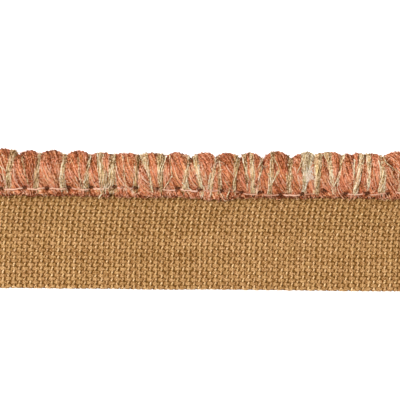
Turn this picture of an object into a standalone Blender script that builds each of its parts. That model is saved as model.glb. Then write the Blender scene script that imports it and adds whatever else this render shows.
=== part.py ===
# A straight cut length of flanged decorative cord, lying flat.
# Yarn is wound in close turns along one edge of a woven tape, and a row of
# stitching through the turns' feet holds the tape between them.
# X runs along the cord, +Y from the tape's free edge to the cord's crest,
# +Z away from the surface. The origin is the middle of the footprint.
import bisect
import math

import bmesh
import bpy

MM = 0.001

LENGTH = 100 * MM
WIDTH = 20.9 * MM
CLEARANCE = 0.3 * MM

# Woven tape
TAPE_THICKNESS = 1.0 * MM
TAPE_LIFT = 0.9 * MM
TAPE_FLAT_TO = -2.0 * MM
TAPE_LIFTED_FROM = 2.9 * MM
TAPE_HELD_TO = 4.2 * MM
TAPE_STEP = 4.0 * MM
TAPE_STEPS_ACROSS = 12

# Wound yarn
CORD_REPEAT = 58.8 * MM
REPEAT_START = -28.4 * MM
REPEAT_FOOT_START = -29.2 * MM
SLOT_END = 4.75 * MM
FOOT_THICKNESS = 0.6 * MM
FOOT_ROUND = 0.2 * MM
GROOVE_DEPTH = 0.34 * MM
GROOVE_FULL_WIDTH = 1.4 * MM
WIDE_TURN = 1.5 * MM
OVERSIZE = 3.0 * MM

YARN_COLOURS = {"coral": (0.56, 0.21, 0.11), "beige": (0.56, 0.37, 0.21)}
STRAW = (0.434, 0.231, 0.087)

# Distance along, and how far the free edge is drawn in there, in mm.
FREE_EDGE = (
    ("along", "inset"),
    (-50, 0.15),
    (-30, 0.22),
    (-22, 0.12),
    (-19, 0.30),
    (-15, 0.20),
    (-9, 0.10),
    (0, 0.10),
    (15, 0.17),
    (23, 0.24),
    (26, 0.10),
    (30, 0.00),
    (40, 0.12),
    (50, 0.06),
)

# The row of stitching, and the ends of the feet beyond it, in mm. It repeats.
SEAM = (
    ("along", "seam", "tip"),
    (-30.0, 4.62, 3.50),
    (-20.0, 4.60, 3.48),
    (-12.0, 4.60, 3.40),
    (-7.5, 4.20, 3.40),
    (-4.5, 4.58, 3.45),
    (0.0, 4.50, 3.30),
    (2.3, 4.45, 3.00),
    (5.5, 4.35, 3.35),
    (10.0, 4.00, 3.50),
    (17.0, 4.25, 3.50),
    (20.5, 4.20, 3.55),
    (25.0, 4.10, 3.55),
    (28.8, 4.62, 3.50),
)

# One row for each turn of yarn in a repeat: its width at the crest and at the
# foot, and how far its crest stops short of the cord's outer line, in mm.
TURNS = (
    ("yarn", "crest", "foot", "drop"),
    ("beige", 0.90, 0.83, 0.30),
    ("coral", 1.13, 2.55, 0.45),
    ("coral", 2.03, 0.75, 0.05),
    ("beige", 0.60, 0.90, 0.52),
    ("coral", 1.20, 1.65, 0.27),
    ("coral", 1.80, 1.35, 0.03),
    ("beige", 0.75, 1.05, 0.63),
    ("coral", 1.80, 2.25, 0.24),
    ("coral", 1.50, 0.38, 0.07),
    ("beige", 0.23, 0.98, 0.58),
    ("coral", 0.98, 1.65, 0.43),
    ("beige", 0.90, 0.83, 0.35),
    ("coral", 1.05, 0.15, 0.34),
    ("beige", 0.75, 1.50, 0.63),
    ("coral", 1.35, 1.20, 0.51),
    ("coral", 1.80, 1.28, 0.39),
    ("beige", 0.60, 0.75, 0.55),
    ("coral", 0.15, 1.95, 0.60),
    ("beige", 1.05, 0.15, 0.45),
    ("coral", 1.35, 0.90, 0.33),
    ("beige", 1.20, 0.45, 0.46),
    ("coral", 0.75, 0.90, 0.60),
    ("coral", 2.55, 2.10, 0.24),
    ("beige", 0.45, 0.83, 0.70),
    ("coral", 0.45, 1.73, 0.75),
    ("beige", 0.60, 0.90, 0.63),
    ("coral", 2.40, 0.53, 0.20),
    ("beige", 0.60, 0.60, 0.80),
    ("coral", 0.15, 0.90, 0.80),
    ("beige", 0.15, 0.53, 0.75),
    ("coral", 2.25, 1.65, 0.22),
    ("beige", 0.90, 0.45, 0.64),
    ("coral", 0.30, 1.65, 0.66),
    ("beige", 0.60, 0.15, 0.29),
    ("coral", 0.45, 0.45, 0.10),
    ("beige", 0.53, 0.60, 0.10),
    ("coral", 1.05, 0.30, 0.38),
    ("beige", 0.38, 0.15, 0.83),
    ("coral", 1.35, 1.50, 0.43),
    ("beige", 0.45, 0.38, 0.00),
    ("coral", 1.80, 2.18, 0.00),
    ("beige", 0.90, 0.98, 0.66),
    ("coral", 1.43, 1.73, 0.36),
    ("beige", 1.65, 0.15, 0.02),
    ("coral", 0.15, 1.35, 0.34),
    ("beige", 1.20, 0.90, 0.24),
    ("coral", 0.38, 1.95, 0.14),
    ("beige", 0.90, 0.15, 0.02),
    ("coral", 1.35, 0.15, 0.00),
    ("beige", 0.68, 0.15, 0.36),
    ("coral", 1.28, 2.40, 0.22),
    ("coral", 0.90, 0.15, 0.07),
    ("beige", 0.98, 0.75, 0.20),
    ("coral", 0.15, 1.50, 0.20),
    ("beige", 0.68, 0.15, 0.10),
    ("coral", 1.28, 1.35, 0.15),
    ("beige", 0.83, 1.28, 0.51),
    ("coral", 2.85, 1.80, 0.00),
)

# A turn's path in section, from the seam over the face and crest to the back:
# the share of the way from seam to crest, the height in mm, and how deep the
# grooves between turns are there.
TURN_PATH = (
    ("across", "up", "relief"),
    (0.00, 2.78, 0.35),
    (0.13, 3.65, 1.00),
    (0.32, 4.60, 1.00),
    (0.54, 5.10, 1.00),
    (0.77, 4.80, 1.00),
    (0.93, 3.95, 1.00),
    (1.00, 2.70, 1.00),
    (0.95, 1.40, 0.80),
    (0.83, 0.45, 0.40),
    (0.70, 0.00, 0.00),
    (0.20, 0.00, 0.00),
)


def columns(table):
    """The table's rows as dictionaries, keyed by its first row."""
    names = table[0]
    return [dict(zip(names, row)) for row in table[1:]]


def smooth(share):
    share = min(1.0, max(0.0, share))
    return share * share * (3 - 2 * share)


def read_between(rows, along, key):
    """The key's value at this distance along, eased from row to row."""
    places = [row["along"] * MM for row in rows]
    right = min(max(bisect.bisect(places, along), 1), len(rows) - 1)
    left = right - 1
    share = (along - places[left]) / (places[right] - places[left])
    low = rows[left][key]
    high = rows[right][key]
    return (low + (high - low) * smooth(share)) * MM


def in_repeat(along):
    """The same place in the repeat that the seam table covers."""
    start = SEAM[1][0] * MM
    return start + (along - start) % CORD_REPEAT


def material(name, colour, roughness):
    made = bpy.data.materials.new(name)
    made.use_nodes = True
    shader = made.node_tree.nodes["Principled BSDF"]
    shader.inputs["Base Color"].default_value = (*colour, 1)
    shader.inputs["Roughness"].default_value = roughness
    shader.inputs["Metallic"].default_value = 0.0
    return made


def tape_height(across):
    """The height of the tape's underside, flat and then lifted to the seam."""
    share = (across - TAPE_FLAT_TO) / (TAPE_LIFTED_FROM - TAPE_FLAT_TO)
    return TAPE_LIFT * smooth(share)


def make_tape(collection):
    """The woven tape: one sheet whose near edge lies free and whose far edge is held."""
    edge_rows = columns(FREE_EDGE)
    steps_along = round(LENGTH / TAPE_STEP)
    bm = bmesh.new()
    bmesh.ops.create_grid(bm, x_segments=steps_along, y_segments=TAPE_STEPS_ACROSS, size=0.5)
    for vertex in bm.verts:
        along = vertex.co.x * LENGTH
        free = -WIDTH / 2 + read_between(edge_rows, along, "inset")
        across = free + (vertex.co.y + 0.5) * (TAPE_HELD_TO - free)
        vertex.co = (along, across, tape_height(across))
    mesh = bpy.data.meshes.new("flange_tape")
    bm.to_mesh(mesh)
    bm.free()
    tape = bpy.data.objects.new("flange_tape", mesh)
    collection.objects.link(tape)
    solid = tape.modifiers.new("thickness", "SOLIDIFY")
    solid.thickness = TAPE_THICKNESS
    solid.offset = 1.0
    mesh.materials.append(material("straw tape", STRAW, 0.85))
    return tape


def turn_lines():
    """The lines that run over the cord from foot to foot: each groove between two
    turns, and the ridges on the turn after it. Each has its place along at the
    crest and at the foot, its drop, and how much of a groove it is."""
    turns = columns(TURNS)
    crest_scale = CORD_REPEAT / sum(turn["crest"] for turn in turns)
    foot_scale = CORD_REPEAT / sum(turn["foot"] for turn in turns)
    lines = []
    reach = LENGTH / 2 + OVERSIZE
    first = math.floor((-reach - REPEAT_START) / CORD_REPEAT)
    last = math.ceil((reach - REPEAT_START) / CORD_REPEAT)
    for repeat in range(first, last):
        crest = REPEAT_START + repeat * CORD_REPEAT
        foot = REPEAT_FOOT_START + repeat * CORD_REPEAT
        for i, turn in enumerate(turns):
            crest_width = turn["crest"] * crest_scale
            foot_width = turn["foot"] * foot_scale
            before = turns[i - 1]["drop"]
            wide = max(crest_width, foot_width) >= WIDE_TURN
            for share in (0.0, 0.3, 0.7) if wide else (0.0, 0.5):
                groove = share == 0.0
                lines.append({
                    "yarn": turn["yarn"],
                    "crest": crest + share * crest_width,
                    "foot": foot + share * foot_width,
                    "drop": ((before + turn["drop"]) / 2 if groove else turn["drop"]) * MM,
                    "groove": 1.0 if groove else 0.0,
                    "crest_width": crest_width,
                    "foot_width": foot_width,
                })
            crest += crest_width
            foot += foot_width
    return [line for line in lines if abs(line["crest"]) < reach]


def cord_slice(line):
    """The corners of the cord's section along one line, as (along, across, up)."""
    seam_rows = columns(SEAM)
    here = in_repeat(line["foot"])
    seam = read_between(seam_rows, here, "seam")
    tip = read_between(seam_rows, here, "tip")
    crest = WIDTH / 2 - line["drop"]
    slot_top = TAPE_LIFT + TAPE_THICKNESS + CLEARANCE
    slot_bottom = TAPE_LIFT - CLEARANCE
    path = columns(TURN_PATH)
    faces = [(seam + row["across"] * (crest - seam), row["up"] * MM) for row in path]
    corners = [
        (line["foot"], SLOT_END, slot_top),
        (line["foot"], tip + FOOT_ROUND, slot_top),
        (line["foot"], tip, slot_top + FOOT_THICKNESS / 2),
    ]
    for i, row in enumerate(path):
        before = faces[max(i - 1, 0)]
        after = faces[min(i + 1, len(faces) - 1)]
        run = math.hypot(after[0] - before[0], after[1] - before[1])
        # The inward normal of a path that goes over the top from the foot.
        inward = ((after[1] - before[1]) / run, -(after[0] - before[0]) / run)
        width = line["foot_width"] + row["across"] * (line["crest_width"] - line["foot_width"])
        depth = GROOVE_DEPTH * min(1.0, width / GROOVE_FULL_WIDTH) * line["groove"] * row["relief"]
        sink = line["drop"] / 2 * row["relief"]
        across = faces[i][0] + inward[0] * depth
        up = max(0.0, faces[i][1] + inward[1] * (depth + sink))
        along = line["foot"] + row["across"] * (line["crest"] - line["foot"])
        corners.append((along, across, up))
    corners += [
        (line["foot"], tip + FOOT_ROUND, 0.0),
        (line["foot"], tip, slot_bottom / 2),
        (line["foot"], tip + FOOT_ROUND, slot_bottom),
        (line["foot"], SLOT_END, slot_bottom),
    ]
    return corners


def close_end(bm, along, outward):
    """Cuts the cord square at one end and closes the cut."""
    everything = bm.verts[:] + bm.edges[:] + bm.faces[:]
    cut = bmesh.ops.bisect_plane(
        bm, geom=everything, plane_co=(along, 0, 0), plane_no=(outward, 0, 0), clear_outer=True
    )
    rim = [item for item in cut["geom_cut"] if isinstance(item, bmesh.types.BMEdge)]
    bmesh.ops.edgeloop_fill(bm, edges=rim)


def make_cord(collection):
    """The wound yarn: one loft through every groove and ridge of its turns."""
    bm = bmesh.new()
    yarns = list(YARN_COLOURS)
    lines = turn_lines()
    rings = [[bm.verts.new(corner) for corner in cord_slice(line)] for line in lines]
    for line, ring, following in zip(lines, rings, rings[1:]):
        for i in range(len(ring)):
            j = (i + 1) % len(ring)
            face = bm.faces.new((ring[i], ring[j], following[j], following[i]))
            face.material_index = yarns.index(line["yarn"])
    close_end(bm, -LENGTH / 2, -1)
    close_end(bm, LENGTH / 2, 1)
    bmesh.ops.triangulate(bm, faces=bm.faces[:])
    bmesh.ops.recalc_face_normals(bm, faces=bm.faces[:])
    mesh = bpy.data.meshes.new("wound_cord")
    bm.to_mesh(mesh)
    bm.free()
    mesh.shade_smooth()
    mesh.set_sharp_from_angle(angle=math.radians(50))
    for yarn, colour in YARN_COLOURS.items():
        mesh.materials.append(material(yarn + " yarn", colour, 0.8))
    cord = bpy.data.objects.new("wound_cord", mesh)
    collection.objects.link(cord)
    return cord


def main():
    for old in list(bpy.data.objects):
        bpy.data.objects.remove(old, do_unlink=True)
    collection = bpy.data.collections.new("flanged decorative cord")
    bpy.context.scene.collection.children.link(collection)
    make_tape(collection)
    make_cord(collection)


main()
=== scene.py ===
import bisect
import math
import random

import bmesh
import bpy
import numpy as np
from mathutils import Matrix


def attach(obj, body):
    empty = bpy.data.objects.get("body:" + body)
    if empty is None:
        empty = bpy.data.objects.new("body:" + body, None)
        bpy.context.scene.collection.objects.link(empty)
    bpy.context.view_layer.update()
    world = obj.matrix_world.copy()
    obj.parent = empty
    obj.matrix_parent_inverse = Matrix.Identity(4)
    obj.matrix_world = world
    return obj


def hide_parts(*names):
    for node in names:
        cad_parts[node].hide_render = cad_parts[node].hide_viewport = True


# a straight cut length of flanged cord: yarn wound in turns along a woven tape
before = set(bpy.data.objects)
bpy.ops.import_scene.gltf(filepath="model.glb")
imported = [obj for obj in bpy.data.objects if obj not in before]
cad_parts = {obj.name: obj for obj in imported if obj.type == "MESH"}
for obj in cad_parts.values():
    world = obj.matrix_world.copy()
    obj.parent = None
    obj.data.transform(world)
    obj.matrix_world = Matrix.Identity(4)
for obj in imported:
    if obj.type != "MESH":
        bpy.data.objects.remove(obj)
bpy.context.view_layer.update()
mm = 0.001

# where the photo's pixels lie on the part
photo = {
    "mmPerPixel": 0.15,
    "middleColumn": 200.0,
    "crestRow": 151.04,  # the cord's outer line at the middle column
    "slope": 0.0087,  # rows fallen per column, because the camera is rolled a little
}

# the main measures, as in the solids, in mm
whole = {
    "length": 100.0,
    "crest": 10.45,
    "tapeThickness": 1.0,
    "tapeLift": 0.9,
    "tapeFlatTo": -2.0,
    "tapeLiftedFrom": 2.9,
    "tapeHeldTo": 4.2,
    "repeat": 58.8,
    "crestStart": -28.4,
    "footStart": -29.2,
}

# the stitched line and the ends of the feet beyond it, over one repeat: along, seam, tip, in mm
seamChart = [
    (-30.0, 4.62, 3.50),
    (-20.0, 4.60, 3.48),
    (-12.0, 4.60, 3.40),
    (-7.5, 4.20, 3.40),
    (-4.5, 4.58, 3.45),
    (0.0, 4.50, 3.30),
    (2.3, 4.45, 3.00),
    (5.5, 4.35, 3.35),
    (10.0, 4.00, 3.50),
    (17.0, 4.25, 3.50),
    (20.5, 4.20, 3.55),
    (25.0, 4.10, 3.55),
    (28.8, 4.62, 3.50),
]

# the turns in one repeat: yarn, width at the crest, width at the foot, in mm
turnChart = [
    ("beige", 0.90, 0.83), ("coral", 1.13, 2.55), ("coral", 2.03, 0.75), ("beige", 0.60, 0.90),
    ("coral", 1.20, 2.60), ("coral", 1.80, 0.40), ("beige", 0.75, 1.05), ("coral", 1.80, 2.25),
    ("coral", 1.50, 0.38), ("beige", 0.23, 0.98), ("coral", 0.98, 1.65), ("beige", 0.90, 0.83),
    ("coral", 1.05, 0.15), ("beige", 0.75, 1.50), ("coral", 1.35, 1.20), ("coral", 1.80, 1.28),
    ("beige", 0.60, 0.75), ("coral", 0.15, 1.95), ("beige", 1.05, 0.15), ("coral", 1.35, 0.90),
    ("beige", 1.20, 0.45), ("coral", 0.75, 0.90), ("coral", 2.55, 2.10), ("beige", 0.45, 0.83),
    ("coral", 0.45, 1.73), ("beige", 0.60, 0.90), ("coral", 2.40, 0.53), ("beige", 0.60, 0.60),
    ("coral", 0.15, 0.90), ("beige", 0.15, 0.53), ("coral", 2.25, 1.65), ("beige", 0.90, 0.45),
    ("coral", 0.30, 1.65), ("beige", 0.60, 0.15), ("coral", 0.45, 0.45), ("beige", 0.53, 0.60),
    ("coral", 1.05, 0.30), ("beige", 0.38, 0.15), ("coral", 1.35, 1.50), ("beige", 0.45, 0.38),
    ("coral", 1.80, 2.18), ("beige", 0.90, 0.98), ("coral", 1.43, 1.73), ("slub", 1.65, 0.15),
    ("coral", 0.15, 1.35), ("beige", 1.20, 0.90), ("coral", 0.38, 1.95), ("beige", 0.90, 0.15),
    ("coral", 1.35, 0.15), ("beige", 0.68, 0.15), ("coral", 1.28, 2.40), ("coral", 0.90, 0.15),
    ("beige", 0.98, 0.75), ("coral", 0.15, 1.50), ("beige", 0.68, 0.15), ("coral", 1.28, 1.35),
    ("beige", 0.83, 1.28), ("coral", 2.85, 1.80),
]

# a turn's path in section, from the seam over the face and crest to the underside:
# share of the way to the crest, height in mm, and how far the turn stands out there
turnPath = [
    (0.00, 2.78, 0.35),
    (0.13, 3.65, 1.00),
    (0.32, 4.60, 1.00),
    (0.54, 5.10, 1.00),
    (0.77, 4.80, 1.00),
    (0.93, 3.95, 1.00),
    (1.00, 2.70, 1.00),
    (0.95, 1.40, 0.80),
    (0.83, 0.45, 0.40),
    (0.70, 0.00, 0.00),
    (0.20, 0.00, 0.00),
]

# the cord's outer line over one repeat in the photo: column, row, from notch to top to notch
scallopChart = [
    (20, 152.4), (31, 149.9), (39, 153.3), (53, 149.9), (65, 154.4), (79, 150.2), (90, 154.2),
    (103, 152.0), (112, 154.7), (125, 152.8), (139, 154.4), (152, 152.6), (166, 154.9), (175, 152.4),
    (191, 156.4), (204, 152.4), (215, 156.7), (225, 152.6), (239, 156.4), (249, 152.0), (262, 157.4),
    (274, 150.9), (290, 156.6), (307, 151.9), (313, 154.6), (331, 151.7), (341, 155.2), (346, 153.8),
    (350, 154.8), (356, 152.8), (363, 154.2), (370, 153.1), (382, 156.2), (395, 151.6), (412, 155.6),
]

# needle holes in the photo: column, row
holeChart = [
    (2, 188), (25.5, 187), (47.5, 187.5), (69.5, 187), (91.5, 187), (114.5, 186.5), (135.5, 187.5),
    (157, 188.5), (178, 188), (200, 189), (221.5, 190.5), (241, 192), (260.5, 192), (281, 194),
    (302, 193.5), (324, 190.5), (345, 193), (367, 193), (388, 193),
]

# stitches in the photo, each between two holes: its row at the left and at the right, and how
# deep it lies in the fibres, in mm
stitchChart = [
    (189.5, 188.5, 0.00), (189.0, 188.0, 0.00), (188.5, 188.5, 0.00), (188.5, 189.5, 0.04),
    (189.0, 187.8, 0.00), (188.0, 188.0, 0.00), (188.5, 192.5, 0.12), (189.0, 190.5, 0.00),
    (189.5, 191.5, 0.00), (190.5, 190.5, 0.08), (191.0, 192.0, 0.12), (194.0, 194.6, 0.05),
    (195.0, 195.0, 0.14), (195.2, 195.4, 0.00), (194.5, 192.5, 0.14), (192.5, 194.0, 0.16),
    (194.5, 193.8, 0.06), (195.0, 193.5, 0.10),
]

# single fine yarns that lie over the turns in the photo: column and row at the top,
# bend and foot, thickness in pixels
fineChart = {
    "beige": [
        (23.5, 159, 25.5, 169, 28.5, 182, 1.5), (79, 160, 80, 174, 82, 187, 1.8),
        (123, 158, 124.5, 172, 126.5, 190, 1.4), (169.5, 157, 171.3, 170, 172, 176, 1.4),
        (172, 176, 169, 181, 164.5, 188, 1.2), (182, 183, 187, 187, 192, 191, 1.2),
        (219, 163, 220.3, 174, 221, 187, 1.6), (301, 160, 299, 166, 296.5, 172, 1.5),
        (353, 162, 352, 172, 354, 193, 2.0), (356, 178, 355, 186, 355.5, 193, 1.6),
        (377, 162, 379, 172, 378.5, 186, 1.8), (104.5, 186, 103.5, 191, 99.5, 197, 2.6),
        (62.5, 176, 64, 183, 67.5, 191, 1.6), (224, 180, 229, 188, 227, 197, 1.8),
        (165.5, 159, 162, 169, 160.5, 177, 1.6),
    ],
    "cream": [
        (15, 156, 10, 171, 6.7, 186, 1.7), (40, 157, 39, 169, 34.2, 187, 1.5),
        (64, 162, 61, 177, 62, 185, 1.6), (91, 158, 89, 169, 84, 187, 1.9),
        (98.3, 157, 101.7, 169, 105.8, 189, 2.0), (104.2, 157, 106.7, 172, 106.7, 186, 1.5),
        (115, 156, 112, 169, 108.3, 184, 1.5), (141.3, 157, 146.3, 167, 151, 177, 1.8),
        (188, 159, 186.3, 177, 188, 186, 1.4), (193.8, 160, 197, 176, 203.8, 188, 1.9),
        (214.7, 161, 209.7, 176, 208, 187, 1.9), (242.2, 159, 244.7, 169, 248, 179, 1.9),
        (249.7, 159, 253.8, 172, 253, 191, 1.9), (262, 160, 259.5, 164, 257.2, 169, 1.3),
        (273.5, 160, 278, 171, 270, 184, 1.2), (267.7, 175, 269.5, 179, 271, 184, 1.7),
        (276.5, 172, 274, 178, 271.5, 183, 1.5), (320.2, 156, 316.8, 169, 316, 191, 1.5),
        (323.5, 157, 330.2, 174, 332.7, 185, 1.8), (342.7, 157, 336.8, 176, 333.5, 185, 1.5),
        (361.8, 157, 355.2, 169, 353, 190, 1.6), (382.7, 159, 385.2, 164, 399, 174, 1.0),
    ],
    # pale salmon strands low on the coral faces, whose pale colour is a painted highlight
    "salmon": [
        (48.3, 169, 52.5, 174, 57.5, 181, 2.0), (73.3, 172, 77, 179, 80, 186, 2.0),
        (140.5, 174, 145, 180, 149.7, 184, 2.4), (202, 167, 204, 172, 206, 178, 2.2),
        (226, 167, 230, 172, 233, 176, 2.0), (294, 170, 297, 178, 299.5, 187, 1.8),
        (323.5, 176, 328, 183, 332.7, 189, 1.9), (361, 167, 362, 177, 364.3, 186, 2.0),
        (387.7, 169, 391, 176, 394.3, 183, 2.2), (117, 168, 119, 176, 124, 184, 1.6),
        (4, 170, 5, 178, 7, 186, 1.6), (134, 170, 136, 178, 139, 186, 1.6),
    ],
}


def say(stage):
    print("stage:", stage, flush=True)


def smooth(share):
    share = min(1.0, max(0.0, share))
    return share * share * (3 - 2 * share)


def grade(value, over):
    # rises from 0 to 1 over a stretch
    return np.clip(value / over, 0, 1)


def shaken(rng, reach):
    return rng.uniform(-reach, reach)


def fromPhoto(column, row):
    # the place along and across, in mm, under a pixel of the photo
    along = (column - photo["middleColumn"]) * photo["mmPerPixel"]
    fall = row - photo["slope"] * (column - photo["middleColumn"]) - photo["crestRow"]
    return along, whole["crest"] - fall * photo["mmPerPixel"]


# the charts are carried on from the photo's stretch to both ends
shifts = (-whole["repeat"], 0.0, whole["repeat"])
holesInPhoto = [fromPhoto(*hole) for hole in holeChart]
scallops = [fromPhoto(*spot) for spot in scallopChart]


def between(chart, along):
    # the chart's rows on both sides of a place, and the share of the way from one to the other
    start = chart[0][0]
    here = start + (along - start) % whole["repeat"]
    right = min(max(bisect.bisect([row[0] for row in chart], here), 1), len(chart) - 1)
    low = chart[right - 1]
    high = chart[right]
    return low, high, (here - low[0]) / (high[0] - low[0])


def seamAt(along):
    # the stitched line and the ends of the feet at a place
    low, high, share = between(seamChart, along)
    return [low[k] + (high[k] - low[k]) * smooth(share) for k in (1, 2)]


def tapeRise(across):
    span = whole["tapeLiftedFrom"] - whole["tapeFlatTo"]
    return whole["tapeLift"] * smooth((across - whole["tapeFlatTo"]) / span)


class Net:
    # a node tree, with one method that adds any node to it
    def __init__(self, tree):
        self.tree = tree

    def node(self, kind, sockets=None, **settings):
        made = self.tree.nodes.new(kind)
        for name, value in settings.items():
            setattr(made, name, value)
        for name, value in (sockets or {}).items():
            self.feed(made, name, value)
        shown = [socket for socket in made.outputs if socket.enabled]
        return Wire(self, shown[0], made) if shown else made

    def feed(self, made, name, value):
        shown = [socket for socket in made.inputs if socket.enabled]
        socket = shown[name] if isinstance(name, int) else next(s for s in shown if s.name == name)
        if isinstance(value, Wire):
            self.tree.links.new(value.socket, socket)
        else:
            socket.default_value = value


def operators(operation):
    # an operator of Wire and its reflected form
    def plain(self, other):
        return self.maths(operation, self, other)

    def reflected(self, other):
        return self.maths(operation, other, self)

    return plain, reflected


class Wire:
    # one socket, so that maths on it reads as plain maths
    __add__, __radd__ = operators("ADD")
    __sub__, __rsub__ = operators("SUBTRACT")
    __mul__, __rmul__ = operators("MULTIPLY")
    __truediv__, __rtruediv__ = operators("DIVIDE")
    __pow__, __rpow__ = operators("POWER")

    def __init__(self, net, socket, owner):
        self.net = net
        self.socket = socket
        self.owner = owner

    def output(self, name):
        return Wire(self.net, next(s for s in self.owner.outputs if s.enabled and s.name == name), self.owner)

    def maths(self, operation, *values):
        return self.net.node("ShaderNodeMath", dict(enumerate(values)), operation=operation)

    def sine(self):
        return self.maths("SINE", self)

    def cosine(self):
        return self.maths("COSINE", self)

    def held(self):
        return self.maths("MINIMUM", self.maths("MAXIMUM", self, 0.0), 1.0)

    def vectorMaths(self, operation, other):
        second = "Scale" if operation == "SCALE" else 1
        return self.net.node("ShaderNodeVectorMath", {0: self, second: other}, operation=operation)

    def moved(self, direction, distance):
        return self.vectorMaths("ADD", direction.vectorMaths("SCALE", distance))


def vector(net, x, y, z):
    return net.node("ShaderNodeCombineXYZ", {"X": x, "Y": y, "Z": z})


def noise(net, place, scale=1.0, detail=2.0, roughness=0.5):
    sockets = {"Vector": place, "Scale": scale, "Detail": detail, "Roughness": roughness}
    return net.node("ShaderNodeTexNoise", sockets, noise_dimensions="3D")


# objects

def linked(name, data):
    made = bpy.data.objects.new(name, data)
    bpy.context.scene.collection.objects.link(made)
    return made


def reported(made):
    say(f"{made.name}: {sum(len(face.vertices) - 2 for face in made.data.polygons)} triangles")
    return made


def meshOf(name, bm):
    mesh = bpy.data.meshes.new(name)
    bm.to_mesh(mesh)
    bm.free()
    return mesh


def finished(mesh, finish):
    # a smooth piece with the mesh's name
    mesh.shade_smooth()
    mesh.materials.append(finish)
    return reported(linked(mesh.name, mesh))


class Lines:
    # points gathered line by line into one mesh, with named values at each point
    def __init__(self, name, vectorName):
        self.name = name
        self.vectorName = vectorName
        self.points = []
        self.edges = []
        self.faces = []
        self.values = {}
        self.vectors = []

    def addLine(self, points, vectors, values):
        count = len(points)
        self.points += [tuple(c * mm for c in point) for point in points]
        self.vectors += list((np.ones((count, 3)) * vectors).ravel())
        for name, value in values.items():
            self.values.setdefault(name, []).extend(np.ones(count) * value)

    def mesh(self):
        made = bpy.data.meshes.new(self.name)
        made.from_pydata(self.points, self.edges, self.faces)
        for name, values in self.values.items():
            made.attributes.new(name, "FLOAT", "POINT").data.foreach_set("value", values)
        vectors = made.attributes.new(self.vectorName, "FLOAT_VECTOR", "POINT")
        vectors.data.foreach_set("vector", self.vectors)
        return made


class Guides(Lines):
    # guide lines for a tree; each point has its spread, tint, painted shade and tone, ruffle and outward side
    def __init__(self, name):
        super().__init__(name, "outward")

    def add(self, points, spread, tint, hollow=0.0, ruffle=1.0, outward=(0.0, 0.0, 1.0)):
        start = len(self.points)
        self.edges += [(start + i, start + i + 1) for i in range(len(points) - 1)]
        values = {"spread": spread * mm, "tint": tint, "hollow": hollow, "ruffle": ruffle}
        self.addLine(points, outward, values)


# geometry node trees

def newTree(name, lengths, others):
    # the inputs are named with their defaults, and the lengths are in mm
    tree = bpy.data.node_groups.new(name, "GeometryNodeTree")
    tree.interface.new_socket("Geometry", in_out="INPUT", socket_type="NodeSocketGeometry")
    for label, value in {**lengths, **others, "Seed": 1}.items():
        kind = "NodeSocketInt" if isinstance(value, int) else "NodeSocketFloat"
        socket = tree.interface.new_socket(label, in_out="INPUT", socket_type=kind)
        if label in lengths:
            socket.subtype = "DISTANCE"
        socket.default_value = value * mm if label in lengths else value
    tree.interface.new_socket("Material", in_out="INPUT", socket_type="NodeSocketMaterial")
    tree.interface.new_socket("Geometry", in_out="OUTPUT", socket_type="NodeSocketGeometry")
    net = Net(tree)
    return net, net.node("NodeGroupInput").output


def closeTree(net, geometry, material):
    realised = net.node("GeometryNodeRealizeInstances", {"Geometry": geometry})
    shaded = net.node("GeometryNodeSetShadeSmooth", {"Geometry": realised})
    dressed = net.node("GeometryNodeSetMaterial", {"Geometry": shaded, "Material": material})
    net.node("NodeGroupOutput", {"Geometry": dressed})
    return net.tree


def camel(label):
    # "Half width" as halfWidth
    first, *rest = label.split()
    return first.lower() + "".join(word.capitalize() for word in rest)


def grown(name, source, tree, finish, sizes):
    # runs a tree on a mesh, with its inputs read from sizes by name, and keeps a plain mesh
    sizes = {**sizes, "material": finish}
    holder = linked(name + "Guide", source)
    modifier = holder.modifiers.new("tree", "NODES")
    modifier.node_group = tree
    for item in tree.interface.items_tree:
        key = camel(item.name)
        if item.in_out == "INPUT" and key in sizes:
            isLength = getattr(item, "subtype", "") == "DISTANCE"
            modifier[item.identifier] = sizes[key] * mm if isLength else sizes[key]
    holder.update_tag()
    bpy.context.view_layer.update()
    evaluated = holder.evaluated_get(bpy.context.evaluated_depsgraph_get())
    mesh = bpy.data.meshes.new_from_object(evaluated)
    mesh.name = name
    bpy.data.objects.remove(holder)
    return reported(linked(name, mesh))


def attribute(net, name, kind="FLOAT"):
    return net.node("GeometryNodeInputNamedAttribute", {"Name": name}, data_type=kind)


def stored(net, geometry, name, value, kind="FLOAT", domain="POINT"):
    sockets = {"Geometry": geometry, "Name": name, "Value": value}
    return net.node("GeometryNodeStoreNamedAttribute", sockets, data_type=kind, domain=domain)


def randomValue(net, low, high, key, seed):
    sockets = {"Min": low, "Max": high, "ID": key, "Seed": seed}
    return net.node("FunctionNodeRandomValue", sockets, data_type="FLOAT")


def alongSpline(net, output):
    return net.node("GeometryNodeSplineParameter").output(output)


def sweep(net, curves, sides, scale, flat=None):
    # a tube along each curve, with the place round and along it kept for the finish
    curves = stored(net, curves, "along", alongSpline(net, "Length"))
    ring = net.node("GeometryNodeCurvePrimitiveCircle", {"Resolution": sides, "Radius": 1.0}, mode="RADIUS")
    ring = stored(net, ring, "around", alongSpline(net, "Factor"))
    if flat is not None:
        ring = net.node("GeometryNodeTransform", {"Geometry": ring, "Scale": flat})
    sockets = {"Curve": curves, "Profile Curve": ring, "Scale": scale, "Fill Caps": True}
    return net.node("GeometryNodeCurveToMesh", sockets)


def bentFibre(net, points, start, middle, end, thickness):
    # one bent fibre, as a thin tube
    sockets = {"Resolution": points, "Start": start, "Middle": middle, "End": end}
    return sweep(net, net.node("GeometryNodeCurveQuadraticBezier", sockets), 3, thickness)


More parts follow.
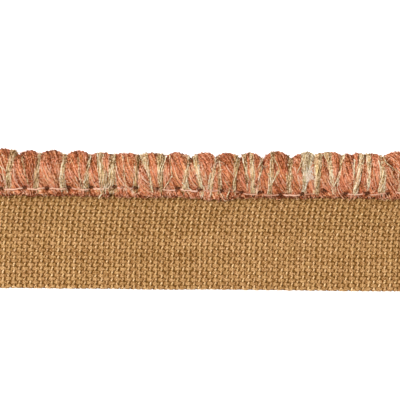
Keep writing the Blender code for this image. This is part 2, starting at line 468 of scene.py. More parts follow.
def scattered(net, spots, fibre, turned, angle, size):
    # a fibre at each spot, turned by an angle round its upright line
    spin = net.node("FunctionNodeEulerToRotation", {0: vector(net, 0.0, 0.0, angle)})
    turned = net.node("FunctionNodeRotateRotation", {0: turned, 1: spin}, rotation_space="LOCAL")
    sockets = {"Points": spots, "Instance": fibre, "Rotation": turned, "Scale": size}
    return net.node("GeometryNodeInstanceOnPoints", sockets)


# finishes

# where the colours stand on a ramp, by how many it has
rampPlaces = {
    2: (0.0, 1.0),
    3: (0.0, 0.5, 1.0),
    4: (0.0, 0.22, 0.5, 1.0),
    5: (0.0, 0.22, 0.5, 0.75, 1.0),
}


def newFinish(name, settings):
    material = bpy.data.materials.new(name)
    material.use_nodes = True
    shader = material.node_tree.nodes["Principled BSDF"]
    for socket, value in settings.items():
        shader.inputs[socket].default_value = value
    return material, Net(material.node_tree), shader


def meshAttribute(net, name, output="Fac"):
    return net.node("ShaderNodeAttribute", attribute_name=name, attribute_type="GEOMETRY").output(output)


def ramp(net, level, colours):
    made = net.node("ShaderNodeValToRGB", {"Fac": level})
    stops = made.owner.color_ramp.elements
    while len(stops) < len(colours):
        stops.new(1.0)
    for stop, place, colour in zip(stops, rampPlaces[len(colours)], colours):
        stop.position = place
        stop.color = (*colour, 1.0)
    return made


def dress(net, shader, level, tones, dyePlace, spot, ridges, sizes):
    # tones by level, with a dye that is uneven from strand to strand and in patches, and a bump
    patchShare = 0.4
    uneven = noise(net, dyePlace, 1.0, 1.0) + noise(net, spot, sizes["dyePatch"], 1.0) * patchShare
    uneven = uneven - (1.0 + patchShare) / 2
    cast = ramp(net, (0.5 + uneven * sizes["dyeDepth"]).held(), sizes["casts"])
    sockets = {"Factor": 1.0, "A": ramp(net, level.held(), tones), "B": cast}
    dyed = net.node("ShaderNodeMix", sockets, data_type="RGBA", blend_type="MULTIPLY")
    net.feed(shader, "Base Color", dyed)
    sockets = {"Strength": sizes["bump"], "Distance": sizes["bumpDistance"], "Height": ridges}
    net.feed(shader, "Normal", net.node("ShaderNodeBump", sockets))


def spunFinish(name, tones, sizes):
    # spun fibre: streaks that wind along the strand, a tone for each strand, and painted shade and painted
    # highlight from the values set at each point
    material, net, shader = newFinish(name, {"Roughness": 0.85, "Specular IOR Level": 0.12})
    along = meshAttribute(net, "along")
    shade = meshAttribute(net, "shade")
    wound = meshAttribute(net, "around") * sizes["streaks"] + along * sizes["wind"]
    place = vector(net, wound, along * sizes["run"], shade * 31.0)
    spot = net.node("ShaderNodeTexCoord").output("Object")
    level = 0.5 + (noise(net, place, 1.0, 3.0, 0.6) - 0.5) * sizes["streakDepth"]
    level = level + (shade - 0.5) * sizes["shadeDepth"]
    level = level + (noise(net, spot, sizes["patch"]) - 0.5) * sizes["patchDepth"]
    level = level + (noise(net, spot, sizes["mottle"]) - 0.5) * sizes["mottleDepth"]
    # painted shade in hollows, grooves and holes, and painted highlight where the value is below zero
    level = level - meshAttribute(net, "hollow") * sizes["hollowDepth"]
    dyePlace = vector(net, along * 900.0, shade * 57.0, 0.0)
    dress(net, shader, level, tones, dyePlace, spot, noise(net, place, 2.2, 3.0, 0.6), sizes)
    return material


def bodyFinish(name, tones, sizes):
    # the mass of fibres in a turn: streaks along the lay, mottled where the yarn is ruffled
    material, net, shader = newFinish(name, {"Roughness": 0.9, "Specular IOR Level": 0.15})
    lay = meshAttribute(net, "lay", "Vector")
    place = lay.vectorMaths("MULTIPLY", (sizes["grain"], sizes["grain"], sizes["run"]))
    streak = noise(net, place, 1.0, 3.0, 0.65)
    spot = net.node("ShaderNodeTexCoord").output("Object")
    mottle = noise(net, spot, sizes["mottle"], 2.0, 0.6)
    ruffle = meshAttribute(net, "ruffle")
    level = 0.5 + (streak - 0.5) * sizes["streakDepth"] + (mottle - 0.5) * ruffle * sizes["mottleDepth"]
    level = level + (meshAttribute(net, "shade") - 0.5) * sizes["shadeDepth"]
    # painted shade at the sides, in grooves, toward the crest and in the holes, and painted highlight on the
    # faces
    level = level - meshAttribute(net, "hollow") * sizes["hollowDepth"]
    dyePlace = lay.vectorMaths("MULTIPLY", (2.0, 2.0, 0.7))
    dress(net, shader, level, tones, dyePlace, spot, streak + mottle * ruffle * 0.6, sizes)
    return material


coralCasts = [(0.98, 1.12, 0.80), (1.0, 1.0, 1.0), (1.0, 0.86, 0.98)]
evenCasts = [(0.99, 1.04, 0.88), (1.0, 0.96, 1.12)]

finishSizes = {
    "body": {
        "grain": 6.5, "run": 0.9, "streakDepth": 1.5, "mottle": 4600.0, "mottleDepth": 1.3,
        "shadeDepth": 0.15, "hollowDepth": 0.45, "bump": 0.8, "bumpDistance": 0.00012,
        "dyePatch": 500.0, "dyeDepth": 1.4, "casts": coralCasts,
    },
    "yarn": {
        "streaks": 5.0, "wind": 1400.0, "run": 1300.0, "patch": 420.0, "mottle": 3600.0,
        "streakDepth": 1.0, "shadeDepth": 1.0, "patchDepth": 0.2, "mottleDepth": 2.1, "hollowDepth": 0.5,
        "bump": 0.6, "bumpDistance": 0.00006, "dyePatch": 500.0, "dyeDepth": 1.4, "casts": coralCasts,
    },
    "tape": {
        "streaks": 3.0, "wind": 3800.0, "run": 1500.0, "patch": 160.0, "mottle": 8000.0,
        "streakDepth": 0.8, "shadeDepth": 0.12, "patchDepth": 0.18, "mottleDepth": 2.6, "hollowDepth": 0.42,
        "bump": 0.5, "bumpDistance": 0.00004, "dyePatch": 260.0, "dyeDepth": 0.7, "casts": evenCasts,
    },
    "thread": {
        "streaks": 2.0, "wind": 2400.0, "run": 600.0, "patch": 300.0, "mottle": 2500.0,
        "streakDepth": 0.4, "shadeDepth": 0.2, "patchDepth": 0.3, "mottleDepth": 0.5, "hollowDepth": 0.6,
        "bump": 0.3, "bumpDistance": 0.00003, "dyePatch": 300.0, "dyeDepth": 1.0, "casts": evenCasts,
    },
}

# colours from dark to light
tones = {
    "coral": [
        (0.13, 0.028, 0.005), (0.40, 0.10, 0.030), (0.70, 0.250, 0.115),
        (0.83, 0.41, 0.245), (0.95, 0.65, 0.45),
    ],
    "beige": [(0.13, 0.055, 0.010), (0.42, 0.23, 0.085), (0.80, 0.52, 0.275), (1.0, 0.90, 0.66)],
    "slub": [(0.22, 0.13, 0.05), (0.52, 0.36, 0.18), (0.82, 0.63, 0.40), (1.0, 0.94, 0.80)],
    # one tape colour at two lightnesses: the threads across the tape are painted lighter as a painted
    # highlight on their floats, and the threads along it darker as painted shade
    "tapeAcross": [(0.18, 0.055, 0.004), (0.62, 0.36, 0.142), (1.0, 0.74, 0.44)],
    "tapeAlong": [(0.17, 0.055, 0.004), (0.455, 0.25, 0.094), (0.74, 0.46, 0.22)],
    # the sheet under the threads: a dark colour that is painted shade seen through the gaps of the weave
    "ground": [(0.08, 0.026, 0.001), (0.15, 0.065, 0.008), (0.21, 0.10, 0.018)],
    "thread": [(0.36, 0.14, 0.07), (0.74, 0.44, 0.31), (0.96, 0.72, 0.58)],
    # the inner turns, a darker red than the coral yarn: painted shade for the gaps between the outer turns
    "heart": [(0.14, 0.025, 0.01), (0.30, 0.075, 0.03), (0.42, 0.13, 0.06)],
    # the dark domes under the needle holes, which are painted shade for the depths of the holes
    "holes": [(0.09, 0.030, 0.012), (0.20, 0.072, 0.032), (0.36, 0.15, 0.08)],
    "hair": [(0.50, 0.20, 0.08), (0.78, 0.42, 0.22), (0.95, 0.70, 0.45)],
    "cream": [(0.36, 0.21, 0.08), (0.79, 0.57, 0.32), (1.0, 0.90, 0.68)],
    # pale salmon strands: a painted highlight on the coral faces
    "salmon": [(0.50, 0.17, 0.07), (0.86, 0.46, 0.29), (0.98, 0.72, 0.52)],
    "fluff": [(0.84, 0.62, 0.47), (0.99, 0.83, 0.68), (1.0, 0.96, 0.86)],
}


def makeFinishes():
    made = {}
    paler = {**finishSizes["yarn"], "casts": evenCasts}
    for name in ("coral", "heart", "holes", "salmon"):
        made[name] = spunFinish(name + "Yarn", tones[name], finishSizes["yarn"])
    for name in ("beige", "slub", "cream", "fluff", "hair"):
        made[name] = spunFinish(name + "Yarn", tones[name], paler)
    for name in ("coral", "beige", "slub"):
        made[name + "Body"] = bodyFinish(name + "Body", tones[name], finishSizes["body"])
    for name in ("tapeAcross", "tapeAlong", "ground"):
        made[name] = spunFinish(name, tones[name], finishSizes["tape"])
    made["thread"] = spunFinish("sewingThread", tones["thread"], finishSizes["thread"])
    return made


# the woven tape

tapeSizes = {
    "pitchAcross": 0.822,
    "pitchAlong": 0.54,
    "lean": 1.1,
    "slant": 0.09,
    "edgeWander": 0.08,
    "freeInset": 0.12,
    "groundThickness": 0.12,
    "Across": {
        "way": 0.0, "crimp": 0.21, "width": 0.34, "thickness": 0.38, "fray": 0.0, "floatShade": 2.5,
        "pointsPerCrossing": 3.0, "seed": 3,
    },
    "Along": {
        "way": 1.0, "crimp": 0.12, "width": 0.72, "thickness": 0.24, "fray": 0.008,
        "pointsPerCrossing": 4.0, "seed": 8,
    },
}


def weaveTree():
    # one set of threads of a plain weave: Way 0 runs across the tape, Way 1 along it
    net, given = newTree("plainWeave", {
        "Pitch across": 0.82, "Pitch along": 0.54, "Length": 100.0, "Free edge": -10.4, "Held edge": 4.2,
        "Crimp": 0.2, "Lean": 1.1, "Slant": 0.08, "Width": 0.5, "Thickness": 0.4, "Edge wander": 0.1,
        "Flat to": -2.0, "Lifted from": 2.9, "Lift": 0.9, "Middle": 0.5,
        "Waver": 0.4, "Held shade from": 1.6, "Held shade over": 1.4,
    }, {
        "Way": 0.0, "Threads": 10, "Points": 100, "Sides": 5, "Fray": 0.006,
        "Pinch": 0.62, "Float shade": 1.0, "Held shade": 0.22,
    })
    way = given("Way")
    free = given("Free edge")
    lastThread = given("Threads") - 1.0
    line = net.node("GeometryNodeMeshLine", {
        "Count": given("Threads"), "Start Location": (0.0, 0.0, 0.0), "Offset": (1.0, 0.0, 0.0),
    }, mode="OFFSET")
    line = stored(net, line, "thread", net.node("GeometryNodeInputIndex"), "INT")
    one = net.node("GeometryNodeCurvePrimitiveLine", {"Start": (0.0, 0.0, 0.0), "End": (0.0, 1.0, 0.0)})
    one = net.node("GeometryNodeResampleCurve", {"Curve": one, "Count": given("Points")})
    threads = net.node("GeometryNodeInstanceOnPoints", {"Points": line, "Instance": one})
    threads = net.node("GeometryNodeRealizeInstances", {"Geometry": threads})
    thread = attribute(net, "thread", "INT")
    share = alongSpline(net, "Factor")
    span = given("Held edge") - free
    # where this point is, along and across, for either way
    fray = 1.0 + given("Fray") * randomValue(net, -0.3, 1.0, thread, given("Seed"))
    alongHere = (share - 0.5) * given("Length") * fray
    alongThread = (thread - lastThread * 0.5) * given("Pitch across")
    acrossThread = free + (thread + 0.5) * given("Pitch along")
    across = (free + share * span) * (1.0 - way) + acrossThread * way
    high = (across - free) / span
    lean = given("Lean") * high * high * high
    straight = alongThread * (1.0 - way) + (alongHere - lean) * way
    # the crossing numbers, whole where two threads cross
    column = straight / given("Pitch across") + lastThread * 0.5 * (1.0 - way)
    row = (across - free) / given("Pitch along") - 0.5
    crossing = (column + row) * math.pi
    over = crossing.cosine() * (1.0 - 2.0 * way)
    lifted = net.node("ShaderNodeMapRange", {
        "Value": across, "From Min": given("Flat to"), "From Max": given("Lifted from"),
        "To Min": 0.0, "To Max": given("Lift"),
    }, interpolation_type="SMOOTHSTEP")
    waver = (noise(net, vector(net, straight * 90.0, across * 160.0, thread * 3.7)) - 0.5) * given("Waver")
    edge = (straight * 210.0).sine() * 0.5 + (straight * 83.0 + 1.0).sine() * 0.5
    wander = given("Edge wander") * edge * (1.0 - high) * (1.0 - high)
    x = straight + lean + (given("Slant") * crossing.sine() + waver) * (1.0 - way)
    y = across + wander + waver * way
    z = given("Middle") + lifted + over * given("Crimp")
    threads = net.node("GeometryNodeSetPosition", {"Geometry": threads, "Position": vector(net, x, y, z)})
    threads = net.node("GeometryNodeSetCurveNormal", {"Curve": threads}, mode="Z_UP")
    threads = stored(net, threads, "shade", randomValue(net, 0.0, 1.0, thread, given("Seed")))
    # painted shade where a thread dives under the one it crosses, and a painted shadow of the cord on the
    # tape near the held edge
    shaded = ((across - given("Held shade from")) / given("Held shade over")).held() * given("Held shade")
    threads = stored(net, threads, "hollow", 1.0 - (0.5 + over * 0.5) ** given("Float shade") + shaded)
    # a thread along the tape is squeezed beside each thread that crosses it
    pinch = ((column - 0.27) * math.tau).cosine().held() ** 4.0 * given("Pinch") * way
    bulge = noise(net, vector(net, straight * 700.0, across * 700.0, thread * 1.9), 1.0, 1.0)
    flat = vector(net, given("Width") * 0.5, given("Thickness") * 0.5, 1.0)
    tubes = sweep(net, threads, given("Sides"), 0.86 + bulge * 0.28 - pinch, flat)
    return closeTree(net, tubes, given("Material"))


def makeGround(finish):
    # the sheet that closes the weave, halfway through its thickness; its dark colour is painted shade seen
    # through the gaps between the threads
    free = tapeSizes["freeInset"] - whole["crest"]
    bm = bmesh.new()
    bmesh.ops.create_grid(bm, x_segments=20, y_segments=16, size=0.5)
    for vertex in bm.verts:
        across = free + (vertex.co.y + 0.5) * (whole["tapeHeldTo"] - free)
        up = tapeRise(across) + whole["tapeThickness"] / 2
        vertex.co = (vertex.co.x * whole["length"] * mm, across * mm, up * mm)
    ground = finished(meshOf("tapeGround", bm), finish)
    solid = ground.modifiers.new("thickness", "SOLIDIFY")
    solid.thickness = tapeSizes["groundThickness"] * mm
    solid.offset = 0.0
    return ground


def threadCounts():
    span = whole["tapeHeldTo"] + whole["crest"]
    return {
        "Across": int(whole["length"] / tapeSizes["pitchAcross"]),
        "Along": int(span / tapeSizes["pitchAlong"]),
    }


def makeWeave(finishes):
    tree = weaveTree()
    counts = threadCounts()
    shared = {
        **tapeSizes, "length": whole["length"], "middle": whole["tapeThickness"] / 2,
        "freeEdge": tapeSizes["freeInset"] - whole["crest"], "heldEdge": whole["tapeHeldTo"],
        "flatTo": whole["tapeFlatTo"], "liftedFrom": whole["tapeLiftedFrom"], "lift": whole["tapeLift"],
    }
    made = []
    for way, crossed in (("Across", "Along"), ("Along", "Across")):
        points = int(counts[crossed] * tapeSizes[way]["pointsPerCrossing"])
        sizes = {**shared, **tapeSizes[way], "threads": counts[way], "points": points}
        empty = bpy.data.meshes.new("seed" + way)
        made.append(grown("tapeThreads" + way, empty, tree, finishes["tape" + way], sizes))
    return made


def rovingTree():
    # scatters strands round each guide line, so that they wind and wander along it
    net, given = newTree("looseRoving", {
        "Half width": 0.06, "Wander": 0.0, "Drift": 0.0, "Twist": 1.0,
    }, {
        "Strands": 1, "Waves": 650.0, "Sides": 3, "Flatten": 0.65, "Thinnest": 0.7, "Thickest": 1.35,
    })
    seed = given("Seed")
    curves = net.node("GeometryNodeMeshToCurve", {"Mesh": given("Geometry")})
    sockets = {"Geometry": curves, "Amount": given("Strands")}
    copies = net.node("GeometryNodeDuplicateElements", sockets, domain="SPLINE")
    curves = stored(net, copies, "strand", copies.output("Duplicate Index"), "INT", "CURVE")
    strand = attribute(net, "strand", "INT")
    tint = attribute(net, "tint")
    key = strand + tint * 9000.0
    along = alongSpline(net, "Length")
    angle = (strand / given("Strands") + tint * 7.0 + along / given("Twist")) * math.tau
    far = randomValue(net, 0.35, 1.0, key, seed + 1.0) * attribute(net, "spread")
    normal = net.node("GeometryNodeInputNormal")
    side = net.node("GeometryNodeInputTangent").vectorMaths("CROSS_PRODUCT", normal)
    offset = normal.vectorMaths("SCALE", angle.cosine() * far).moved(side, angle.sine() * far)
    waver = noise(net, vector(net, along * given("Waves"), key * 0.37, 0.0)).output("Color")
    waver = waver.vectorMaths("SUBTRACT", (0.5, 0.5, 0.5))
    offset = offset.moved(waver, given("Wander") * attribute(net, "ruffle") * 3.0)
    # the strands keep close to the turn's surface
    outward = attribute(net, "outward", "FLOAT_VECTOR")
    offset = offset.moved(outward, offset.vectorMaths("DOT_PRODUCT", outward) * (0.0 - given("Flatten")))
    drift = given("Drift") * randomValue(net, -1.0, 1.0, key, seed + 3.0) * (alongSpline(net, "Factor") - 0.5)
    offset = offset.vectorMaths("ADD", vector(net, drift, 0.0, 0.0))
    curves = net.node("GeometryNodeSetPosition", {"Geometry": curves, "Offset": offset})
    # nothing sinks into the floor
    place = net.node("ShaderNodeSeparateXYZ", {"Vector": net.node("GeometryNodeInputPosition")})
    up = net.node("ShaderNodeMath", {0: place.output("Z"), 1: given("Half width") * 1.4}, operation="MAXIMUM")
    held = vector(net, place.output("X"), place.output("Y"), up)
    curves = net.node("GeometryNodeSetPosition", {"Geometry": curves, "Position": held})
    curves = stored(net, curves, "shade", randomValue(net, 0.0, 1.0, key, seed))
    size = given("Half width") * randomValue(net, given("Thinnest"), given("Thickest"), key, seed + 2.0)
    return closeTree(net, sweep(net, curves, given("Sides"), size), given("Material"))


edgeSizes = {
    "reach": 0.10, "shaken": 0.03, "inside": 0.25, "points": 10, "halfWidth": 0.15, "sides": 6, "seed": 9,
}


def makeEdgeLoops(finish, tree):
    # each thread across turns round the free edge and comes back as its neighbour
    rng = random.Random(5)
    guides = Guides("edgeGuides")
    picks = threadCounts()["Across"]
    crimp = tapeSizes["Across"]["crimp"]
    middle = whole["tapeThickness"] / 2
    y = -whole["crest"] + edgeSizes["inside"]
    for pick in range(0, picks - 1, 2):
        x = (pick - (picks - 1) / 2) * tapeSizes["pitchAcross"]
        reach = edgeSizes["reach"] + shaken(rng, edgeSizes["shaken"])
        line = [
            (x, y + 0.25, middle + crimp), (x + 0.10, y, middle + crimp * 0.9),
            (x + 0.30, y - reach, middle + crimp * 0.3), (x + 0.52, y - reach, middle - crimp * 0.3),
            (x + 0.72, y, middle - crimp * 0.9), (x + tapeSizes["pitchAcross"], y + 0.25, middle - crimp),
        ]
        count = edgeSizes["points"]
        # painted shade that deepens along the loop as it turns under the edge
        guides.add(resampled(line, count), 0.0, rng.random(), np.linspace(0.0, 0.7, count))
    return grown("edgeLoops", guides.mesh(), tree, finish, edgeSizes)


# the wound yarn

# what all the turns share
# grooveShade, sideShade, footShade, holeShade, holeDarkest and each yarn's crestShade set painted shade on
# the turns, and faceShine a painted highlight on the faces
turnSizes = {
    "strandsPerWidth": 1.7, "grooveDepth": 0.26, "grooveShade": 0.90, "grooveFull": 1.2,
    "plyWidth": 0.30, "farthest": 2.6, "frontPoints": 22, "backPoints": 7,
    "bulge": 0.24, "faceBulge": 0.12, "bodyInset": 0.05, "notchDepth": 0.6,
    "narrow": 0.8, "narrowSink": 0.26, "jitterUp": 0.022, "jitterAlong": 0.04, "tipReach": 0.15,
    "endGap": 0.2, "fullSlantWidth": 1.6, "toneSpread": 0.05, "bodyTip": 0.1,
    "plySpread": 1.2, "leastSpread": 0.05, "mostSpread": 0.17,
    "faceFrom": 1.5, "shineAt": 0.30, "faceShine": 0.52, "crestShadeFrom": 0.52, "crestShadeOver": 0.26,
    "sideFrom": 0.8, "sideShade": 0.16,
    "footFrom": 0.2, "footOver": 0.8, "footLoose": 0.14, "footShade": 0.16,
    "holeNear": 2.0, "holeReach": 0.36, "holeSquat": 1.35, "holeSink": 0.07, "holeDepth": 1.0,
    "holePush": 0.26, "holeShade": 1.7, "holeDarkest": 1.4,
}

# what each yarn has of its own
ownSizes = {
    "coral": {
        "slant": 3.8, "crestShade": 0.40, "lift": 0.0, "room": 1.18, "footRoom": 0.4, "footShort": 0.0,
        "round": 0.8, "strands": 3, "halfWidth": 0.052, "wander": 0.10, "waves": 1100.0, "drift": 0.4,
        "twist": 6.0, "bodySides": 16, "leastRuffle": 0.45,
    },
    "beige": {
        "slant": -0.8, "crestShade": 0.46, "lift": 0.10, "room": 1.08, "footRoom": -0.1, "footShort": 0.35,
        "round": 0.0, "strands": 4, "halfWidth": 0.050, "wander": 0.05, "waves": 700.0, "drift": 0.2,
        "twist": 2.6, "bodySides": 12, "leastRuffle": 1.3,
    },
    "slub": {
        "slant": -0.4, "crestShade": 0.10, "lift": 0.16, "room": 1.15, "footRoom": -0.1, "footShort": 0.35,
        "round": 0.0, "strands": 6, "halfWidth": 0.042, "wander": 0.09, "waves": 1100.0, "drift": 0.3,
        "twist": 3.0, "bodySides": 12, "leastRuffle": 0.3,
    },
}
yarnSizes = {yarn: {**turnSizes, **own} for yarn, own in ownSizes.items()}

# short fibres that stand out of the turns in all directions, mostly at the crest and feet
shortSizes = {
    "length": 0.55, "halfWidth": 0.045, "mostHollow": 0.62, "share": 0.55,
    "spin": 1.2, "scatter": 0.20, "lift": 0.04,
}


def shortFibreTree():
    # lays a short bent fibre at each guide point where the yarn is ruffled
    net, given = newTree("shortFibres", {
        "Length": 0.6, "Half width": 0.05, "Scatter": 0.1, "Lift": 0.1,
    }, {
        "Least ruffle": 0.9, "Most hollow": 0.62, "Share": 0.6, "Spin": 1.0,
    })
    index = net.node("GeometryNodeInputIndex")
    seed = given("Seed")
    outward = attribute(net, "outward", "FLOAT_VECTOR")
    sockets = {0: attribute(net, "ruffle"), 1: given("Least ruffle")}
    ruffled = net.node("FunctionNodeCompare", sockets, operation="GREATER_THAN")
    # short fibres are left out where the painted shade is deep, such as in the needle holes
    sockets = {0: attribute(net, "hollow"), 1: given("Most hollow")}
    clear = net.node("FunctionNodeCompare", sockets, operation="LESS_THAN")
    chosen = net.node("FunctionNodeBooleanMath", {0: ruffled, 1: clear}, operation="AND")
    sockets = {"Probability": given("Share"), "ID": index, "Seed": seed + 5.0}
    drawn = net.node("FunctionNodeRandomValue", sockets, data_type="BOOLEAN")
    chosen = net.node("FunctionNodeBooleanMath", {0: chosen, 1: drawn}, operation="AND")
    aside = [randomValue(net, -1.0, 1.0, index, seed + shift) * given("Scatter") for shift in (1.0, 2.0)]
    facing = net.node("ShaderNodeSeparateXYZ", {"Vector": outward})
    beside = vector(net, aside[0], aside[1] * facing.output("Z"), aside[1] * (facing.output("Y") * -1.0))
    place = outward.vectorMaths("SCALE", given("Lift")).vectorMaths("ADD", beside)
    sockets = {"Mesh": given("Geometry"), "Selection": chosen}
    spots = net.node("GeometryNodeMeshToPoints", sockets, mode="VERTICES")
    spots = net.node("GeometryNodeSetPosition", {"Geometry": spots, "Offset": place})
    length = given("Length")
    fibre = bentFibre(
        net, 2, vector(net, length * 0.10, length * -0.5, length * -0.15),
        vector(net, length * -0.15, 0.0, length * 0.20),
        vector(net, length * 0.10, length * 0.5, length * -0.15), given("Half width"),
    )
    upright = net.node("FunctionNodeAlignRotationToVector", {"Vector": outward}, axis="Z")
    angle = randomValue(net, -1.0, 1.0, index, seed + 3.0) * given("Spin")
    fibres = scattered(net, spots, fibre, upright, angle, randomValue(net, 0.6, 1.4, index, seed + 4.0))
    fibres = stored(net, fibres, "shade", randomValue(net, 0.0, 1.0, index, seed), "FLOAT", "INSTANCE")
    return closeTree(net, fibres, given("Material"))


def holePlaces():
    # every needle hole over the whole length
    places = []
    for shift in shifts:
        for along, across in holesInPhoto[1:] if shift else holesInPhoto:
            if abs(along + shift) < whole["length"] / 2:
                places.append((along + shift, across))
    return sorted(places)


def turnsOverLength():
    # each turn's place at crest and foot over the whole length
    crestScale = whole["repeat"] / sum(row[1] for row in turnChart)
    footScale = whole["repeat"] / sum(row[2] for row in turnChart)
    turns = []
    for shift in shifts:
        crest = whole["crestStart"] + shift
        foot = whole["footStart"] + shift
        for yarn, crestWidth, footWidth in turnChart:
            crestWidth = crestWidth * crestScale
            footWidth = footWidth * footScale
            if abs(crest + crestWidth / 2) < whole["length"] / 2 - turnSizes["endGap"]:
                turns.append((yarn, crest, crestWidth, foot, footWidth))
            crest += crestWidth
            foot += footWidth
    return turns


def crestLine(along):
    # how far the cord reaches at this place, with round tops between the notches,
    # and how far that is below the nearest top
    low, high, share = between(scallops, along)
    share = min(1.0, max(0.0, share))
    nearTop = 1.0 - share if high[1] > low[1] else share
    arch = math.sqrt(max(0.0, 1.0 - nearTop ** 1.8))
    top = max(low[1], high[1])
    notch = min(low[1], high[1])
    return notch + (top - notch) * arch, (top - notch) * (1.0 - arch)


def sectionLine(seam, tip, crest):
    # a turn's outer line in section, evenly spaced, from its front foot to its back foot:
    # share of the way to the crest, how far it stands out, across, up
    tapeTop = whole["tapeLift"] + whole["tapeThickness"]
    line = [
        (0.0, 0.0, tip + 0.50, tapeTop + 0.06),
        (0.0, 0.2, tip + 0.10, tapeTop + 0.06),
        (0.0, 0.3, tip + 0.02, tapeTop + 0.32),
        (0.0, 0.4, tip + 0.34, tapeTop + 0.66),
    ]
    line += [(share, relief, seam + share * (crest - seam), up) for share, up, relief in turnPath]
    line.append((0.0, 0.0, tip + 0.35, 0.0))
    front = resampled(line[:11], turnSizes["frontPoints"])
    back = resampled(line[10:], turnSizes["backPoints"] + 1)[1:]
    return np.vstack([front, back])


def travelledAlong(points):
    # the way from the first point to each
    steps = np.linalg.norm(np.diff(points, axis=0), axis=1)
    return np.concatenate([[0.0], np.cumsum(steps)])


def resampled(line, count):
    # a smooth curve through the points, with evenly spaced places
    points = np.array(line)
    padded = np.vstack([2 * points[0] - points[1], points, 2 * points[-1] - points[-2]])
    fine = []
    for i in range(1, len(padded) - 2):
        a, b, c, d = padded[i - 1:i + 3]
        for t in np.linspace(0, 1, 8, endpoint=False):
            fine.append(0.5 * (2 * b + (c - a) * t + (2 * a - 5 * b + 4 * c - d) * t * t
                               + (3 * b - a - 3 * c + d) * t * t * t))
    fine.append(points[-1])
    fine = np.array(fine)
    travelled = travelledAlong(fine[:, -2:])
    wanted = np.linspace(0, travelled[-1], count)
    return np.stack([np.interp(wanted, travelled, fine[:, k]) for k in range(fine.shape[1])], axis=1)


def layLine(turn, angle, slant, holes, shift=0.0, footShift=0.0, tipShift=0.0, lower=0.0):
    # one line over a turn's surface at an angle round its section, which winds on the way: points, outward
    # sides, painted shade and highlight, ruffle and the turn's width there
    yarn, crest, crestWidth, foot, footWidth = turn
    sizes = yarnSizes[yarn]
    faceFrom = sizes["faceFrom"]
    crestAt = crest + crestWidth * (0.5 + 0.5 * math.sin(angle - slant / 2))
    footAt = foot + footWidth * (0.5 + 0.5 * math.sin(angle + slant / 2))
    seam, tip = seamAt(footAt)
    crestReach, fall = crestLine(crestAt)
    line = sectionLine(seam, tip + tipShift + sizes["footShort"], crestReach - fall * sizes["round"])
    lean, relief, across, up = line.T
    progress = np.linspace(0.0, len(line) / sizes["frontPoints"], len(line))
    wound = angle + slant * (0.5 - progress)
    local = footWidth + lean * (crestWidth - footWidth)

    # how deep the line lies: round the section, between strands, in narrow turns and in notches
    bulge = (sizes["bulge"] + sizes["faceBulge"] * np.sin(math.pi * lean)) * np.minimum(1, local)
    narrow = np.maximum(0, 1 - local / sizes["narrow"])
    strands = round(max(crestWidth, footWidth) * sizes["strandsPerWidth"])
    groove = (1 - abs(math.sin(strands * angle / 2 + crest))) ** 2 if strands > 1 else 0.0
    groove = groove * np.minimum(1, local / sizes["grooveFull"]) * np.clip(1.2 - lean, 0.1, 1.0)
    depth = relief * (
        bulge * (1 - np.cos(wound)) + groove * sizes["grooveDepth"] + narrow * sizes["narrowSink"]
        - sizes["lift"] * (1 - 0.8 * lean) + fall * sizes["notchDepth"] * (0.3 + 0.7 * lean)
    ) + lower
    heading = np.gradient(np.stack([across, up]), axis=1)
    heading = heading / np.linalg.norm(heading, axis=0)
    across = across + heading[1] * depth
    up = up - heading[0] * depth
    middle = foot + footWidth / 2 + lean * (crest + crestWidth / 2 - foot - footWidth / 2)
    loose = grade(seam + sizes["footFrom"] - across, sizes["footOver"]) * (up > faceFrom)
    room = sizes["room"] + sizes["footRoom"] * (1 - lean)
    along = middle + local / 2 * room * np.sin(wound) + shift + loose * footShift

    # painted shade at the sides, in grooves, at the feet and toward the crest, and a painted highlight on the
    # face
    hollow = grade(np.abs(wound) - sizes["sideFrom"], 0.8) * sizes["sideShade"] * (0.5 + 1.5 * lean)
    hollow = hollow + groove * relief * sizes["grooveShade"] + loose * sizes["footShade"]
    towardCrest = grade(lean - sizes["crestShadeFrom"], sizes["crestShadeOver"]) * (up > faceFrom)
    hollow = np.maximum(hollow, towardCrest * sizes["crestShade"])
    nearShine = grade(1 - np.abs(lean - sizes["shineAt"]) / sizes["shineAt"], 1)
    hollow = hollow - sizes["faceShine"] * nearShine * (up > faceFrom)
    # at each needle hole the fibres are pulled aside and down into the hole, and painted shade darkens the
    # pit
    for holeAlong, holeAcross in holes:
        if abs(holeAlong - footAt) < sizes["holeNear"]:
            below = (across - holeAcross + sizes["holeSink"]) * sizes["holeSquat"]
            pull = np.exp(-(np.hypot(along - holeAlong, below) / sizes["holeReach"]) ** 2) * (up > faceFrom)
            along = along + np.sign(along - holeAlong) * pull * sizes["holePush"]
            up = up - pull * sizes["holeDepth"]
            hollow = np.maximum(hollow, np.minimum(sizes["holeDarkest"], pull * sizes["holeShade"]))
    up = np.maximum(up, sizes["halfWidth"])
    ruffle = (0.5 + 1.3 * grade(lean - 0.45, 0.4) + 1.6 * loose) * grade(up - 0.45, 0.6)
    points = np.stack([along, across, up], axis=1)
    outward = np.stack([np.sin(wound) * 0.6, -heading[1], heading[0]], axis=1)
    return points, outward, hollow, ruffle, local


